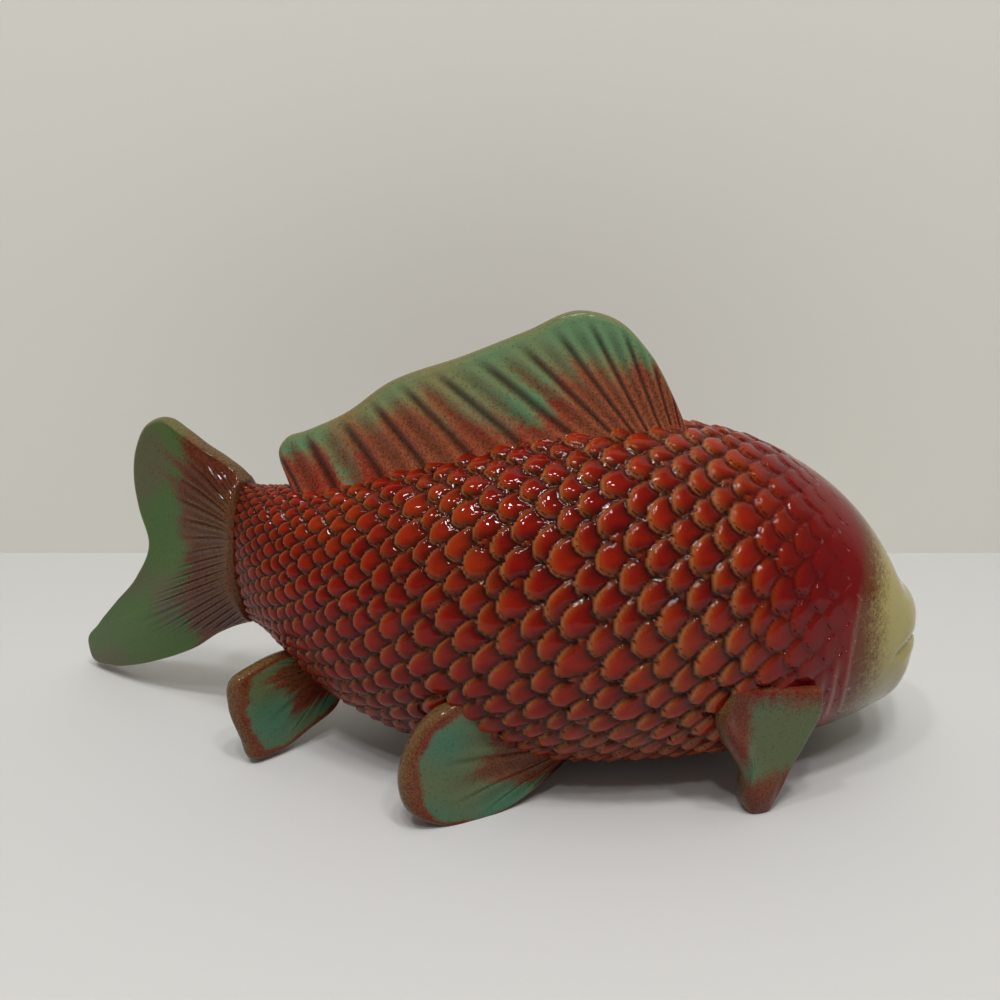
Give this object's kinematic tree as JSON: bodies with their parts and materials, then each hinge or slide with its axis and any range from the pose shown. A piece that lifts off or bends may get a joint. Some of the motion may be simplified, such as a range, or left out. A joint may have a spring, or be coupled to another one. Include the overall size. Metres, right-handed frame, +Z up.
{
  "type": "fish figurine",
  "caption": "Glazed ceramic fish that stands on its fins, with a hollow scaled body bent to one side, a long ribbed back fin and a lobed tail.",
  "frame": {"origin": "on the floor, under the middle of the figurine's outer box", "axes": "+X towards the head, +Y towards the side the fish bends to, +Z up"},
  "size_m": [0.275, 0.0972, 0.1328],
  "materials": {
    "red_glaze": "gloss",
    "green_glaze": "gloss",
    "dark_glaze": "gloss"
  },
  "bodies": {
    "root": {"body_right_half": "red_glaze", "body_left_half": "red_glaze", "dorsal_fin": "green_glaze", "tail_fin": "green_glaze", "anal_fin": "green_glaze", "pectoral_fin_right": "green_glaze", "pectoral_fin_left": "green_glaze", "pelvic_fin_right": "green_glaze", "pelvic_fin_left": "green_glaze", "eye_right": "dark_glaze", "eye_left": "dark_glaze"}
  },
  "joints": []
}
